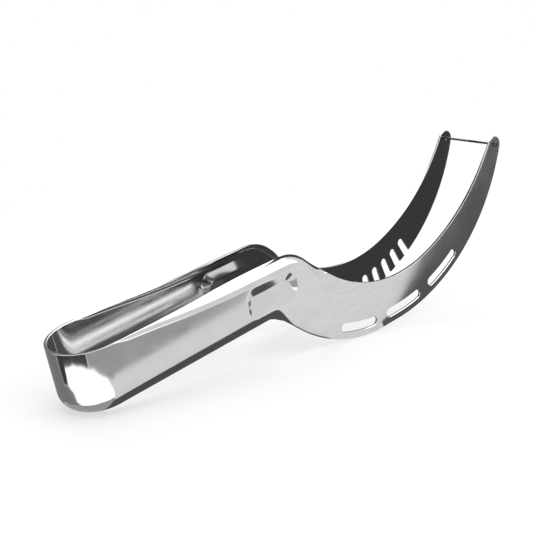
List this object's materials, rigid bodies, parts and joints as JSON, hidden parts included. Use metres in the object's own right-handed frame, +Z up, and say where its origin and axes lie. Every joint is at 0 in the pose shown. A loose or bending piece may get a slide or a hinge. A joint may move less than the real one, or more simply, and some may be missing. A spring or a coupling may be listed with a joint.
{
  "type": "watermelon slicer",
  "caption": "Stainless tongs for melon: a bowed strip handle with a curved slotted blade, a curved toothed blade and a cutting wire between their tips.",
  "frame": {"origin": "middle of the bounding box on the surface that the tool stands on, under the two blade bellies and the bow", "axes": "+X from the bow to the blade tips, +Y from the slotted blade to the toothed blade, +Z up"},
  "size_m": [0.1998, 0.0276, 0.0688],
  "materials": {
    "polished_steel": "mirror polished stainless steel",
    "satin_steel": "satin stainless steel",
    "wire_steel": "drawn stainless wire"
  },
  "bodies": {
    "bow": {"spring_bow": "polished_steel"},
    "slotted_arm": {"slotted_side_arm": "polished_steel"},
    "toothed_arm": {"toothed_side_arm": "polished_steel"},
    "slotted_front": {"slotted_blade": "satin_steel"},
    "toothed_front": {"toothed_blade": "satin_steel"},
    "wire": {"cutting_wire": "wire_steel"}
  },
  "joints": [
    {"name": "slotted_arm_squeeze", "type": "hinge", "parent": "bow", "child": "slotted_arm", "pos_m": [-0.08496, -0.0125, 0.01358], "axis": [-0.1931, 0, 0.9812], "range_deg": [0, 3], "stiffness_Nm_per_rad": 8},
    {"name": "toothed_arm_squeeze", "type": "hinge", "parent": "bow", "child": "toothed_arm", "pos_m": [-0.08496, 0.0125, 0.01358], "axis": [-0.1931, 0, 0.9812], "range_deg": [-3.05, 0.05], "stiffness_Nm_per_rad": 8},
    {"name": "slotted_blade_flex", "type": "hinge", "parent": "slotted_arm", "child": "slotted_front", "pos_m": [0.00087, -0.0125, 0.02028], "axis": [-0.1931, 0, 0.9812], "range_deg": [-5.6, 0.05]},
    {"name": "toothed_blade_flex", "type": "hinge", "parent": "toothed_arm", "child": "toothed_front", "pos_m": [0.00087, 0.0125, 0.02028], "axis": [-0.1931, 0, 0.9812], "range_deg": [-0.05, 5.6]},
    {"name": "wire_swivel", "type": "hinge", "parent": "slotted_front", "child": "wire", "pos_m": [0.09631, -0.0125, 0.06554], "axis": [-0.1931, 0, 0.9812], "range_deg": [-0.05, 2.6]}
  ],
  "couplings": [
    {"joint": "toothed_arm_squeeze", "follows": "slotted_arm_squeeze", "ratio": -1},
    {"joint": "slotted_blade_flex", "follows": "slotted_arm_squeeze", "ratio": -1.835},
    {"joint": "toothed_blade_flex", "follows": "slotted_arm_squeeze", "ratio": 1.835},
    {"joint": "wire_swivel", "follows": "slotted_arm_squeeze", "ratio": 0.83502}
  ]
}
